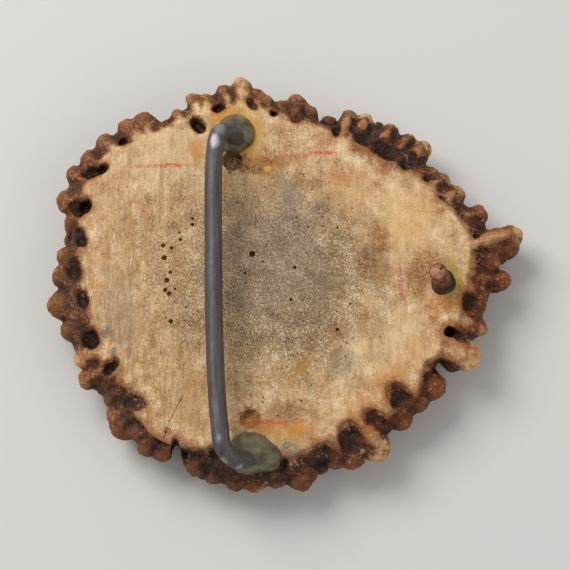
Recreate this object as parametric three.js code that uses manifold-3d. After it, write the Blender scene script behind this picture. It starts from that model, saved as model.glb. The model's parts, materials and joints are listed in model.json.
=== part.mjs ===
// Belt buckle made from one slice of an elk antler's burr, lying on its front with the sawn back up.
// Millimetres, +Z up. The origin is on the surface it rests on, under the middle of the slice.
import * as THREE from 'three';
import { mergeVertices } from 'three/addons/utils/BufferGeometryUtils.js';
import Module from 'manifold-3d';

const wasm = await Module();
wasm.setup();

// The slice: the height of its sawn face, and its profile from the rested flat round to the sawn face.
// Each profile point is a height, a share of the reach at its bearing, and how far that reach has gone
// from the edge of the sawn face to the valleys between the knobs.
const faceHeight = 12;
const profile = [
  { height: 0.0, share: 0.0, rim: 0 },
  { height: 0.0, share: 0.5, rim: 0 },
  { height: 0.6, share: 0.62, rim: 0 },
  { height: 1.7, share: 0.7, rim: 0 },
  { height: 2.6, share: 0.76, rim: 0 },
  { height: 2.2, share: 0.86, rim: 0.3 },
  { height: 3.4, share: 0.95, rim: 0.7 },
  { height: 6.0, share: 1.0, rim: 1 },
  { height: 8.5, share: 1.0, rim: 0.85 },
  { height: 10.5, share: 1.0, rim: 0.4 },
  { height: 13.0, share: 0.985, rim: 0 },
  { height: 13.0, share: 0.0, rim: 0 },
];
const sidesOfSlice = 50;

// The edge of the sawn face: bearing in degrees from +X, distance from the middle.
const faceOutline = [
  [-168, 35.2], [-148, 34.0], [-131, 35.2], [-108, 32.2], [-91.5, 31.7], [-76, 29.3], [-59, 27.7],
  [-40.5, 28.4], [-24, 30.6], [-3.5, 32.8], [14, 34.7], [30.5, 33.0], [44, 31.4], [65, 29.7],
  [88.5, 31.5], [103.5, 35.0], [116, 36.4], [128.5, 38.4], [145, 39.6], [163, 38.1], [177, 36.4],
];

// The valleys between the knobs, further out and lower down: bearing, distance from the middle.
const rimOutline = [
  [-168, 40.4], [-152, 38.8], [-145, 37.8], [-123, 34.4], [-108, 36.8], [-92, 35.8], [-78, 32.6],
  [-66, 34.4], [-55, 32.0], [-42, 32.6], [-27, 30.8], [-14, 35.8], [7, 38.6], [20, 39.0], [28, 36.2],
  [42, 35.2], [54, 36.4], [62, 34.6], [76, 32.0], [94, 35.6], [104, 39.4], [124, 38.9], [138, 43.4],
  [154, 44.4], [167, 40.4], [176, 41.6],
];

// The knobs of the burr, going round from -X: bearing, distance to the middle of the tip, radius,
// depth of the middle below the sawn face, length towards the middle of the slice.
const knobs = [
  [-176, 40.4, 3.3, 4.5, 6], [-167, 39.2, 2.0, 4.5, 5], [-160.5, 38.7, 2.1, 3.5, 5],
  [-155, 39.6, 1.9, 4, 5], [-147.5, 37.2, 1.8, 4.5, 5], [-139.5, 38.3, 3.1, 4.5, 6],
  [-131, 38.0, 2.2, 4.5, 5], [-126.5, 37.2, 2.0, 4.5, 5], [-116.5, 36.1, 2.2, 5, 6],
  [-110.5, 36.3, 1.9, 5.5, 7], [-104.5, 36.3, 1.8, 5.5, 6], [-99, 35.1, 2.6, 5, 6],
  [-92.5, 34.6, 2.0, 5.5, 6], [-85, 34.2, 3.0, 5, 8], [-74, 32.6, 1.8, 5, 6],
  [-68.5, 32.7, 2.9, 5, 8], [-60.5, 33.5, 2.9, 4, 9], [-48.5, 31.5, 2.6, 4.5, 8],
  [-41, 31.9, 2.0, 4, 6], [-34, 32.0, 2.9, 4, 7], [-21, 35.0, 3.1, 2.5, 9],
  [-11.5, 35.8, 2.0, 4, 6], [-4.5, 35.3, 2.0, 4.5, 6], [2.5, 39.8, 1.9, 5, 8],
  [11.5, 41.8, 2.5, 5, 9], [13.5, 42.8, 2.4, 5, 9], [21.5, 38.3, 1.9, 4.5, 7],
  [29.5, 36.2, 1.9, 4, 5], [35, 35.3, 1.8, 4, 5], [38.5, 34.2, 1.8, 3.5, 4],
  [46.5, 36.4, 2.2, 5, 6], [51, 36.2, 1.6, 5, 6], [57, 36.0, 1.7, 5.5, 6],
  [65, 35.1, 1.9, 5, 5], [70, 34.6, 1.8, 5, 5], [82, 33.6, 1.7, 3.5, 5],
  [86.5, 35.0, 2.2, 4, 5], [91, 34.2, 1.9, 3.5, 5], [96, 34.9, 1.7, 3, 5],
  [98.5, 36.4, 2.0, 3, 5], [102, 39.0, 1.9, 2.5, 6], [107, 38.8, 1.9, 3.5, 5],
  [112.5, 38.0, 1.7, 2.5, 5], [115.5, 39.3, 1.7, 2.5, 6], [121.5, 37.9, 1.5, 2, 4],
  [130, 40.6, 2.6, 3, 4], [134, 41.6, 2.4, 3, 4], [140.5, 42.7, 2.4, 3.5, 5],
  [146, 43.3, 2.2, 4, 5], [151, 44.3, 2.0, 4, 5], [157.5, 43.4, 2.3, 4, 5],
  [162.5, 40.8, 2.0, 4.5, 4], [171.5, 40.1, 2.4, 4.5, 6], [176.5, 40.6, 2.4, 4.5, 5],
];
const knobSides = 7;
const knobTallness = 1.6; // height over width of a knob
const lowRowFoot = 0.8; // lowest point of the smaller knobs under the main row
const lowRowRadius = 2.2;
const lowRowLength = 2;
const lowRowStep = 3; // one low knob for this many knobs of the main row
const lowKnobSides = 6;
const lowRowSetBack = 1.8; // how far they stay inside the main row

// The pits between the knobs: bearing, distance, radius, depth, length, heading of the length.
const pits = [
  [-164.5, 36.5, 1.5, 5.5, 2.2, -40], [-155, 35.0, 1.2, 5, 1.5, 40], [-146, 35.1, 1.5, 5, 5.5, 8],
  [-121.5, 36.9, 0.9, 14, 4, -90], [-111.5, 34.6, 1.6, 4, 3.3, -80], [-90, 33.1, 1.1, 4, 1.8, 50],
  [-82, 31.6, 1.2, 4, 2.2, -60], [-77, 30.9, 1.1, 4.5, 2.2, -80], [-67.5, 30.4, 1.8, 5, 4.7, -75],
  [-55, 29.6, 0.9, 3, 3.3, -20], [-44.5, 29.4, 1.6, 5, 3.6, -60], [-27, 32.6, 0.9, 6, 4, -14],
  [-15.5, 31.0, 1.0, 6, 1.5, -15], [-4.5, 33.9, 1.7, 5, 1.8, -75], [7, 36.1, 1.3, 5, 3.3, 50],
  [20, 36.4, 1.1, 4, 2.2, -20], [38, 33.1, 1.3, 4, 0.7, 0], [54, 32.1, 1.8, 5, 6.2, -20],
  [86.5, 31.7, 1.1, 3, 5.5, -8], [110, 36.4, 1.0, 4, 1.5, 20], [118, 35.0, 1.1, 5, 2.4, -50],
  [138, 41.2, 0.8, 5, 1.5, 55], [148.5, 41.4, 1.0, 4, 4.4, 12], [158, 40.1, 1.6, 6, 1.5, 20],
  [167, 38.6, 1.1, 4, 1.8, -60],
];
const pitSides = 6;

// Holes that were drilled in the wrong place and left: x, y, radius, depth.
const spareHoles = [
  [-9.7, 23.0, 1.7, 3],
  [-6.3, -24.6, 1.8, 1],
];

// The belt loop: a bent wire. Its middle line runs from the end of the upper leg to that of the lower leg.
const wireRadius = 1.6;
const wirePath = [
  [-7.7, 26.8, 6.5], [-8.0, 26.9, 9.5], [-8.6, 27.2, 12.4], [-10.1, 27.7, 15.8], [-11.9, 26.9, 18.0],
  [-12.7, 23.6, 18.6], [-12.85, 5.0, 18.6], [-12.5, -13.2, 18.6], [-11.6, -26.6, 18.6],
  [-10.9, -30.7, 18.3], [-8.7, -32.6, 16.3], [-6.1, -31.8, 12.6], [-5.3, -31.4, 9.5], [-5.1, -31.2, 6.5],
];
const wireSides = 10;
const wireSteps = 36;

// The prong: a straight pin that leans towards the loop.
const prongRadius = 1.6;
const prongFoot = new THREE.Vector3(28.7, 0.7, faceHeight);
const prongTip = new THREE.Vector3(27.4, 1.2, 18.3);
const prongBuried = 6;
const prongChamfer = 0.35;

// Epoxy: blobs round the legs of the wire, as middle, half sizes, height over the face and sag below it,
// and a collar round the prong.
const topGlue = { x: -9.6, y: 28.2, halfWidth: 3.8, halfLength: 3.7, height: 2.1, sag: 1 };
const bottomGlue = { x: -5.8, y: -31.0, halfWidth: 4.4, halfLength: 4.0, height: 2.1, sag: 2.5 };
const collarRadius = 2.8;
const collarTaper = 0.4;
const collarHeight = 0.6;
const clearance = 0.3; // gap kept between neighbours

const roundSides = 20; // facets round the prong, its collar and the drilled holes
const sawBlock = { width: 120, height: 40 }; // larger than anything it has to saw off

// A closed geometry as a solid that can be joined and cut.
function solid(geometry) {
  const bare = new THREE.BufferGeometry();
  bare.setAttribute('position', geometry.getAttribute('position'));
  bare.setIndex(geometry.getIndex());
  const merged = mergeVertices(bare, 1e-4);
  const corners = merged.getIndex().array;
  const faces = [];
  for (let i = 0; i < corners.length; i += 3) {
    const [a, b, c] = corners.slice(i, i + 3);
    if (a !== b && b !== c && c !== a) {
      faces.push(a, b, c);
    }
  }
  const vertProperties = Float32Array.from(merged.getAttribute('position').array);
  return new wasm.Manifold(new wasm.Mesh({ numProp: 3, vertProperties, triVerts: Uint32Array.from(faces) }));
}

function geometryOf(body) {
  const mesh = body.getMesh();
  const geometry = new THREE.BufferGeometry();
  geometry.setAttribute('position', new THREE.BufferAttribute(mesh.vertProperties, 3));
  geometry.setIndex(new THREE.BufferAttribute(mesh.triVerts, 1));
  geometry.computeVertexNormals();
  return geometry;
}

function named(name, geometry, color, roughness, metalness) {
  const mesh = new THREE.Mesh(geometry, new THREE.MeshStandardMaterial({ color, roughness, metalness }));
  mesh.name = name;
  return mesh;
}

function polar(bearing, distance) {
  const angle = THREE.MathUtils.degToRad(bearing);
  return [distance * Math.cos(angle), distance * Math.sin(angle)];
}

// Distance from the middle to a closed outline at a bearing in degrees, eased from point to point.
function reachOf(outline, bearing) {
  for (let i = 0; i < outline.length; i += 1) {
    const [start, near] = outline[i];
    const [end, far] = outline[(i + 1) % outline.length];
    const span = THREE.MathUtils.euclideanModulo(end - start, 360);
    const along = THREE.MathUtils.euclideanModulo(bearing - start, 360);
    if (along < span) {
      return THREE.MathUtils.lerp(near, far, THREE.MathUtils.smoothstep(along / span, 0, 1));
    }
  }
  return outline[0][1];
}

// The body of the slice without its knobs: a turned profile pushed out to the two outlines.
function plainSlice() {
  const points = profile.map(({ height, share }) => new THREE.Vector2(share, height));
  const turned = new THREE.LatheGeometry(points, sidesOfSlice);
  turned.rotateX(Math.PI / 2);
  const place = turned.getAttribute('position');
  for (let i = 0; i < place.count; i += 1) {
    const bearing = THREE.MathUtils.radToDeg(Math.atan2(place.getY(i), place.getX(i)));
    const { rim } = profile[i % profile.length];
    const reach = THREE.MathUtils.lerp(reachOf(faceOutline, bearing), reachOf(rimOutline, bearing), rim);
    place.setXY(i, place.getX(i) * reach, place.getY(i) * reach);
  }
  return solid(turned);
}

// A knob is a capsule that points outwards and is taller than it is wide.
function knob(bearing, tip, radius, height, length, sides) {
  const capsule = new THREE.CapsuleGeometry(radius, length, 2, sides);
  capsule.scale(1, 1, knobTallness);
  capsule.translate(0, tip - length / 2, height);
  capsule.rotateZ(THREE.MathUtils.degToRad(bearing - 90));
  return solid(capsule);
}

function pit(bearing, distance, radius, depth, length, heading) {
  const capsule = new THREE.CapsuleGeometry(radius, length, 2, pitSides);
  capsule.scale(1, 1, depth / radius);
  capsule.rotateZ(THREE.MathUtils.degToRad(heading - 90));
  capsule.translate(...polar(bearing, distance), faceHeight);
  return solid(capsule);
}

function drilled(x, y, radius, depth) {
  const bit = new THREE.CylinderGeometry(radius, radius, 2 * depth, roundSides);
  bit.rotateX(Math.PI / 2);
  bit.translate(x, y, faceHeight);
  return solid(bit);
}

// The wire, or the room that it needs: extra adds to its radius and to both ends.
function wire(extra) {
  const line = wirePath.map((point) => new THREE.Vector3(...point));
  line[0].z -= extra;
  line[line.length - 1].z -= extra;
  const path = new THREE.CatmullRomCurve3(line, false, 'centripetal');
  const round = new THREE.Shape();
  round.absarc(0, 0, wireRadius + extra, 0, 2 * Math.PI);
  return new THREE.ExtrudeGeometry(round, {
    steps: wireSteps,
    curveSegments: wireSides / 2,
    bevelEnabled: false,
    extrudePath: path,
  });
}

// The prong standing along +Z with its buried end below, then leaned. Extra makes the room that it needs.
function prong(extra) {
  const lean = prongTip.clone().sub(prongFoot);
  const length = lean.length();
  const radius = prongRadius + extra;
  const outline = [
    [0, -prongBuried - extra],
    [radius, -prongBuried - extra],
    [radius, length - prongChamfer + extra],
    [radius - prongChamfer, length + extra],
    [0, length + extra],
  ];
  const pin = new THREE.LatheGeometry(outline.map(([r, h]) => new THREE.Vector2(r, h)), roundSides);
  const turn = new THREE.Quaternion().setFromUnitVectors(new THREE.Vector3(0, 1, 0), lean.normalize());
  pin.applyQuaternion(turn);
  pin.translate(prongFoot.x, prongFoot.y, prongFoot.z);
  return pin;
}

// A block that holds everything above the height, for sawing.
function above(height) {
  const block = new THREE.BoxGeometry(sawBlock.width, sawBlock.width, sawBlock.height);
  block.translate(0, 0, height + sawBlock.height / 2);
  return solid(block);
}

// A smaller knob under the gap between two knobs of the main row.
function lowKnob([bearing, tip], [nextBearing, nextTip]) {
  const between = bearing + THREE.MathUtils.euclideanModulo(nextBearing - bearing, 360) / 2;
  const lowTip = (tip + nextTip) / 2 - lowRowSetBack;
  const height = lowRowFoot + lowRowRadius * knobTallness;
  return knob(between, lowTip, lowRowRadius, height, lowRowLength, lowKnobSides);
}

// The burr with its knobs, sawn flat.
function sawnBurr() {
  let body = plainSlice();
  for (const [bearing, tip, radius, depth, length] of knobs) {
    body = body.add(knob(bearing, tip, radius, faceHeight - depth, length, knobSides));
  }
  for (let i = 0; i + 1 < knobs.length; i += lowRowStep) {
    body = body.add(lowKnob(knobs[i], knobs[i + 1]));
  }
  return body.subtract(above(faceHeight));
}

// The slice as it is used: pits opened by the saw, spare holes, and room for the wire and the prong.
function antlerSlice(burr, rooms) {
  const pitted = pits.reduce((body, row) => body.subtract(pit(...row)), burr);
  const drilledThrough = spareHoles.reduce((body, row) => body.subtract(drilled(...row)), pitted);
  return rooms.reduce((body, room) => body.subtract(room), drilledThrough);
}

// A blob of epoxy that lies on the burr with a small gap and sags over its edge, round the wire.
function glueBlob({ x, y, halfWidth, halfLength, height, sag }, burr, wireRoom) {
  const ball = new THREE.SphereGeometry(1, 12, 6);
  ball.rotateX(Math.PI / 2);
  const place = ball.getAttribute('position');
  for (let i = 0; i < place.count; i += 1) {
    const level = place.getZ(i);
    place.setZ(i, level * (level > 0 ? height : sag));
  }
  ball.scale(halfWidth, halfLength, 1);
  ball.translate(x, y, faceHeight);
  const gaps = [[0, 0, clearance], [0, -clearance, 0], [clearance, 0, 0], [-clearance, 0, 0]];
  const lying = gaps.reduce((blob, gap) => blob.subtract(burr.translate(gap)), solid(ball));
  return geometryOf(lying.subtract(wireRoom));
}

function prongCollar() {
  const outline = [
    [0, 0],
    [collarRadius, 0],
    [collarRadius - collarTaper, collarHeight],
    [0, collarHeight],
  ];
  const ring = new THREE.LatheGeometry(outline.map(([r, h]) => new THREE.Vector2(r, h)), roundSides);
  ring.rotateX(Math.PI / 2);
  ring.translate(prongFoot.x, prongFoot.y, faceHeight);
  return solid(ring);
}

const wireRoom = solid(wire(clearance));
const prongRoom = solid(prong(clearance));
const burr = sawnBurr();
const slice = antlerSlice(burr, [wireRoom, prongRoom]);

const buckle = new THREE.Group();
buckle.name = 'antler_belt_buckle';
buckle.add(named('antler_slice', geometryOf(slice), 0xc9a77c, 0.75, 0));
buckle.add(named('belt_loop', wire(0), 0x6b676a, 0.4, 0.9));
buckle.add(named('prong', prong(0), 0x9a6b4c, 0.35, 0.9));
buckle.add(named('loop_glue_top', glueBlob(topGlue, burr, wireRoom), 0x7d7a55, 0.3, 0));
buckle.add(named('loop_glue_bottom', glueBlob(bottomGlue, burr, wireRoom), 0x7d7a55, 0.3, 0));
buckle.add(named('prong_glue', geometryOf(prongCollar().subtract(prongRoom)), 0x4a4126, 0.3, 0));

export default buckle;
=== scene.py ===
import json
import math
import random

import bpy
import numpy as np
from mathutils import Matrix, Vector, kdtree

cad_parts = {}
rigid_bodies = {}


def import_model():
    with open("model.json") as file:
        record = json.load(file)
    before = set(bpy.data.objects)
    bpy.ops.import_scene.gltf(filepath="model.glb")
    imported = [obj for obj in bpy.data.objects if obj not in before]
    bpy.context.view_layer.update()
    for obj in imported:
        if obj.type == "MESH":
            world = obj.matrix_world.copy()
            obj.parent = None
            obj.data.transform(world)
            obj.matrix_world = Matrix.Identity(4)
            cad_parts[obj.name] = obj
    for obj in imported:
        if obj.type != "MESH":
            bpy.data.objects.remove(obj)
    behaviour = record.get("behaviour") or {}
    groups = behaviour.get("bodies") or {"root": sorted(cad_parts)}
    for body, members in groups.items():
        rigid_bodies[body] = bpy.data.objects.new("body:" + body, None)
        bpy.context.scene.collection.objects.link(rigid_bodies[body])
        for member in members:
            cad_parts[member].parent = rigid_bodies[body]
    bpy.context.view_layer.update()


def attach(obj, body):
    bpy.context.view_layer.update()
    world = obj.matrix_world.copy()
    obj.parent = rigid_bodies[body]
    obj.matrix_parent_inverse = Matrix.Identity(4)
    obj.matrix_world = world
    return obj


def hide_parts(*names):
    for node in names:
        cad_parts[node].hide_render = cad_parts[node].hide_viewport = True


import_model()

# Belt buckle cut from an elk antler's burr, lying on its front with the sawn back up.
mm = 0.001
faceHeight = 12.0  # mm, the sawn back above the table


# Small helpers for the modelling
def clearSelection():
    if bpy.context.mode != "OBJECT":
        bpy.ops.object.mode_set(mode="OBJECT")
    bpy.ops.object.select_all(action="DESELECT")


def pick(piece):
    clearSelection()
    piece.select_set(True)
    bpy.context.view_layer.objects.active = piece


def finishModifier(piece, kind, **settings):
    pick(piece)
    modifier = piece.modifiers.new(kind.lower(), kind)
    for name, value in settings.items():
        setattr(modifier, name, value)
    bpy.ops.object.modifier_apply(modifier=modifier.name)


def joinAll(pieces, name):
    pick(pieces[0])
    for piece in pieces:
        piece.select_set(True)
    if len(pieces) > 1:
        bpy.ops.object.join()
    joined = bpy.context.object
    joined.name = name
    joined.data.name = name
    bpy.ops.object.transform_apply(location=True, rotation=True, scale=True)
    return joined


def drop(piece):
    bpy.data.objects.remove(piece)


# A ball stretched to half sizes in mm, turned about Z
def addBall(place, size, turn=0.0, segments=20):
    clearSelection()
    bpy.ops.mesh.primitive_uv_sphere_add(
        segments=segments, ring_count=segments // 2, radius=mm,
        location=[value * mm for value in place], rotation=(0, 0, math.radians(turn)), scale=size)
    return bpy.context.object


# Points of a mesh in mm
def points(mesh):
    spots = np.empty(len(mesh.vertices) * 3)
    mesh.vertices.foreach_get("co", spots)
    return spots.reshape(-1, 3) / mm


def setPoints(mesh, spots):
    mesh.vertices.foreach_set("co", (spots * mm).ravel())
    mesh.update()


def storeValues(mesh, name, values):
    attribute = mesh.attributes.new(name, "FLOAT", "POINT")
    attribute.data.foreach_set("value", np.asarray(values, dtype=np.float32))


def polar(bearing, distance):
    angle = math.radians(bearing)
    return distance * math.cos(angle), distance * math.sin(angle)


def easeStep(value):
    value = min(max(value, 0.0), 1.0)
    return value * value * (3 - 2 * value)


# Value of a closed list of (bearing, value) at a bearing, eased from point to point
def valueAt(outline, bearing):
    for (start, near), (end, far) in zip(outline, outline[1:] + outline[:1]):
        span = (end - start) % 360
        along = (bearing - start) % 360
        if along < span:
            return near + (far - near) * easeStep(along / span)
    return outline[0][1]


# The slice of antler. Bearings in degrees from +X, sizes in mm.
antler = {
    "sides": 240,
    "voxel": 0.33,  # size of the net that fuses the lumps
    "hollowVoxel": 0.25,  # the same for the cutter of the hollows
    "hollowSpread": 1.1,
    "hollowLumps": (1.7, 0.8),  # relief in the hollows: size, strength
    "barkLumps": [(2.4, 0.9), (0.9, 0.36)],  # reliefs of the bark: size, strength
    "edgeDrop": 1.1,  # how far below the back the bark begins
    "trianglesKept": 0.66,
    # height, share of the reach, how far the reach has gone from the sawn edge to the valleys of the rim
    "profile": [
        (0.0, 0.5, 0), (0.6, 0.62, 0), (1.7, 0.7, 0), (2.6, 0.76, 0), (2.2, 0.86, 0.3), (3.4, 0.95, 0.7),
        (6.0, 1.0, 1), (8.6, 1.0, 0.97), (9.9, 1.0, 0.8), (10.6, 1.0, 0.34), (11.2, 1.0, 0.06),
        (13.0, 0.985, 0),
    ],
    "faceOutline": [
        (-168, 35.2), (-160, 36.2), (-148, 34.0), (-131, 36.6), (-108, 32.2), (-91.5, 31.7), (-77, 29.6),
        (-72, 30.4), (-66, 29.2), (-60, 29.6), (-56, 28.8), (-52, 30.2), (-46, 29.0), (-40, 31.0),
        (-33, 29.8), (-24, 30.6), (-3.5, 32.8), (14, 34.7), (30.5, 33.0), (44, 31.4), (65, 29.7),
        (88.5, 31.5), (103.5, 35.0), (116, 35.8), (128.5, 37.0), (136, 38.4), (143.5, 41.2), (149, 40.0),
        (153.5, 41.4), (159, 39.0), (165, 38.6), (177, 36.4),
    ],
    "rimOutline": [
        (-168, 40.4), (-152, 38.8), (-145, 37.8), (-123, 34.4), (-108, 36.8), (-92, 35.8), (-78, 32.6),
        (-66, 34.4), (-55, 32.0), (-42, 32.6), (-27, 30.8), (-14, 35.8), (7, 38.6), (20, 39.0), (28, 36.2),
        (42, 35.2), (54, 36.4), (62, 34.6), (76, 32.0), (94, 35.6), (104, 39.4), (124, 38.9), (138, 43.4),
        (154, 44.4), (167, 40.4), (176, 41.6),
    ],
    # bearing, distance to the tip's middle, radius, depth below the sawn face, length inwards, pale tip
    "knobs": [
        (-176, 40.4, 3.3, 4.5, 6, 0), (-169, 39.7, 2.2, 4.5, 5, 0), (-160.5, 38.7, 2.1, 3.0, 6, 0.6),
        (-155, 39.6, 1.9, 4, 5, 0.3), (-147.5, 37.2, 1.8, 4.5, 5, 0.1), (-142.5, 38.2, 2.0, 3.6, 5, 0),
        (-139.5, 38.5, 2.8, 4.8, 6, 0), (-135.5, 37.4, 1.9, 3.4, 5, 0), (-131, 38.0, 2.2, 4.5, 5, 0.1),
        (-126.5, 37.2, 2.0, 4.5, 5, 0), (-116.5, 36.1, 2.2, 5, 6, 0), (-110.5, 36.3, 1.9, 5.5, 7, 0),
        (-104.5, 36.3, 1.8, 5.5, 6, 0.1), (-99, 35.1, 2.6, 5, 6, 0.15), (-92.5, 34.6, 2.0, 5.5, 6, 0),
        (-85, 34.2, 3.0, 5, 8, 0.2), (-74, 32.6, 1.8, 5, 6, 0), (-68.5, 32.7, 2.9, 5, 8, 0.1),
        (-60.5, 33.5, 2.9, 4, 9, 0.65), (-48.5, 31.5, 2.6, 4.5, 8, 0), (-41, 31.9, 2.0, 4, 6, 0),
        (-34, 32.0, 2.9, 4, 7, 0), (-21, 35.0, 3.1, 2.5, 9, 0.9), (-11.5, 35.8, 2.0, 4, 6, 0.5),
        (-4.5, 35.3, 2.0, 4.5, 6, 0), (2.5, 39.8, 1.9, 5, 8, 0.2), (8, 37.3, 2.7, 3.6, 6, 0.1),
        (11.5, 41.8, 2.5, 5, 9, 0.2), (13.5, 42.8, 2.4, 5, 9, 0.85), (21.5, 38.3, 1.9, 4.5, 7, 0.3),
        (29.5, 36.2, 1.9, 4, 5, 0.5), (35, 35.3, 1.8, 4, 5, 0.4), (38.5, 34.2, 1.8, 3.5, 4, 0),
        (46.5, 36.4, 2.2, 5, 6, 0.75), (51, 36.2, 1.6, 5, 6, 0.5), (57, 36.0, 1.7, 5.5, 6, 0.75),
        (65, 35.1, 1.9, 5, 5, 0.65), (70, 34.6, 1.8, 5, 5, 0.65), (82, 33.6, 1.7, 3.5, 5, 0),
        (86.5, 35.0, 2.2, 4, 5, 0.2), (91, 34.2, 1.9, 3.5, 5, 0.1), (96, 34.9, 1.7, 3, 5, 0.2),
        (98.5, 36.4, 2.0, 3, 5, 0.3), (102, 39.0, 1.9, 2.5, 6, 0.9), (107, 38.8, 1.9, 3.5, 5, 0.2),
        (112.5, 38.0, 1.7, 2.5, 5, 0.2), (115.5, 39.3, 1.7, 2.5, 6, 0.3), (121.5, 37.9, 1.5, 2, 4, 0.2),
        (130, 40.6, 2.6, 3, 4, 0.1), (134, 41.6, 2.4, 3, 4, 0.1), (140.5, 42.7, 2.4, 3.5, 5, 0.1),
        (146, 43.3, 2.2, 4, 5, 0), (151, 44.3, 2.0, 4, 5, 0.2), (157.5, 43.4, 2.3, 4, 5, 0.1),
        (162.5, 40.8, 2.0, 4.5, 4, 0), (171.5, 40.1, 2.4, 4.5, 6, 0), (176.5, 40.6, 2.4, 4.5, 5, 0),
    ],
    "notches": [-27.5],  # bearings where the rim is open down to the front
    "notchWidth": 4,
    "knobTallness": 1.5,
    "grains": 1,  # on each knob
    "knobDrop": 0.42,  # top of the tip below the back, as a share of the depth of its middle
    # hollows: x, y, half sizes, turn, depth, how dark with dirt and painted shade
    "hollows": [
        # right and lower right
        (33.9, -3.0, 1.8, 2.2, -15, 2.2, 0.45), (31.9, -9.3, 3.0, 1.0, -22, 2.2, 0.3),
        (29.8, -8.6, 1.0, 0.9, 0, 4.0, 0.8), (30.2, -14.6, 3.2, 0.6, -12, 4.0, 0.7),
        (26.4, -14.8, 1.5, 0.9, 25, 1.6, 0.35), (27.2, -18.6, 2.0, 3.4, 25, 1.3, 0.15),
        (21.2, -21.2, 3.8, 2.1, -50, 2.2, 0.36), (16.3, -24.6, 2.6, 1.6, -30, 1.8, 0.25),
        (18.6, -25.4, 2.0, 0.6, -35, 2.4, 0.5), (12.0, -29.0, 2.4, 4.0, 12, 2.3, 0.36),
        (7.1, -30.8, 1.2, 2.1, -15, 2.0, 0.4), (4.4, -32.2, 2.4, 1.6, 35, 1.9, 0.35),
        (-0.3, -33.9, 1.0, 2.4, 0, 2.4, 0.6),
        # lower left, with the slot that runs right through
        (-12.9, -32.4, 1.8, 2.8, 10, 2.0, 0.5), (-16.2, -31.8, 1.6, 2.0, 0, 1.5, 0.35),
        (-19.7, -33.2, 1.1, 4.7, 0, 40.0, 0.5), (-24.0, -30.0, 2.2, 1.5, -20, 1.5, 0.25),
        (-27.8, -28.4, 0.9, 1.1, 0, 3.4, 0.7), (-29.4, -25.7, 1.9, 2.8, -40, 1.3, 0.15),
        (-29.4, -20.8, 4.8, 2.2, -25, 1.8, 0.35), (-31.7, -15.0, 2.1, 1.2, 40, 2.2, 0.45),
        (-35.3, -9.9, 1.7, 1.9, 20, 3.2, 0.5), (-36.9, -8.2, 2.9, 1.8, -42, 1.9, 0.2),
        (-37.0, -2.3, 1.2, 1.9, 20, 2.4, 0.4),
        # upper left
        (-39.0, 3.3, 1.9, 3.0, 0, 2.4, 0.3), (-37.8, 9.2, 1.5, 2.4, 25, 2.5, 0.4),
        (-38.1, 14.9, 2.6, 1.9, 10, 3.0, 0.2), (-36.9, 15.1, 1.5, 1.5, 0, 4.2, 0.7),
        (-35.4, 21.7, 2.9, 1.2, 12, 2.8, 0.2), (-33.9, 22.0, 1.0, 0.9, 0, 3.8, 0.8),
        (-30.1, 27.3, 1.2, 0.8, 55, 3.0, 0.7), (-24.3, 30.0, 1.5, 0.7, 10, 1.3, 0.2),
        (-16.1, 30.4, 1.2, 2.1, 35, 2.4, 0.5), (-12.3, 33.5, 1.3, 0.9, 15, 2.8, 0.7),
        (-5.9, 34.4, 0.9, 1.8, 30, 1.5, 0.35), (-2.0, 32.7, 0.8, 0.8, 0, 2.6, 0.7),
        # upper right
        (2.4, 32.0, 2.8, 1.2, 5, 1.5, 0.3), (9.5, 29.5, 0.9, 1.4, 0, 2.4, 0.5),
        (14.3, 28.0, 3.0, 1.5, -30, 2.0, 0.6), (18.6, 25.8, 3.6, 2.0, -25, 2.2, 0.7),
        (22.7, 23.6, 2.2, 2.0, 20, 2.2, 0.7), (25.9, 20.3, 0.9, 0.9, 0, 2.4, 0.6),
        (29.5, 16.0, 3.2, 0.5, -38, 1.4, 0.3), (31.8, 14.2, 0.5, 1.3, 30, 2.6, 0.7),
        (34.7, 12.5, 1.7, 0.9, -30, 1.8, 0.5), (35.0, 9.5, 0.8, 0.8, 0, 2.2, 0.5),
        (36.0, 5.2, 1.4, 2.6, -15, 1.7, 0.9),
    ],
    # how far the brown creeps in over the back, by bearing
    "halo": [(-170, 0.6), (-140, 0.9), (-100, 1.0), (-60, 1.1), (-20, 0.9), (10, 0.7), (50, 0.9), (100, 0.4)],
    # how much darker the bark is, by bearing
    "darkerBark": [(-175, 0.15), (-140, 0.2), (-125, 0.5), (-110, 0.85), (-95, 0.95), (-78, 0.4), (-40, 0.05),
              (20, 0.1), (55, 0.3), (90, 0.1)],
    # two spare drill holes: x, y, radius, depth
    "spareHoles": [(-9.7, 23.4, 1.9, 1.8), (-6.3, -24.6, 1.8, 0.8)],
    # open pores of the spongy bone: x, y, radius
    "pores": [
        (-22.2, 7.4, 0.45), (-20.7, 6.9, 0.35), (-22.0, 5.1, 0.5), (-19.1, 8.5, 0.35), (-19.3, 9.8, 0.25),
        (-20.9, 2.4, 0.35), (-21.5, 0.9, 0.5), (-21.8, -0.9, 0.45), (-21.1, -1.6, 0.45), (-20.0, -0.7, 0.25),
        (-20.7, -6.7, 0.45), (-21.6, -6.0, 0.2), (-16.9, 12.4, 0.3), (-16.9, 11.3, 0.35), (-6.0, 5.8, 0.6),
        (-7.3, 2.2, 0.28), (-4.0, 4.4, 0.2), (1.8, 3.3, 0.35), (-7.1, 0.4, 0.2), (9.6, 10.7, 0.22),
        (4.2, 10.9, 0.2), (1.1, -2.7, 0.32), (11.8, -3.5, 0.22), (9.5, -8.2, 0.36), (-4.0, -20.7, 0.2),
        (-4.0, -21.6, 0.2), (2.9, -21.3, 0.2), (-1.3, -24.0, 0.2),
    ],
    "poreDepth": 2.5,  # times the radius
    # a drying crack: x, y from end to end
    "crack": [(-18.0, -19.8), (-19.6, -22.6), (-20.8, -25.2), (-21.9, -28.4)],
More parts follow.
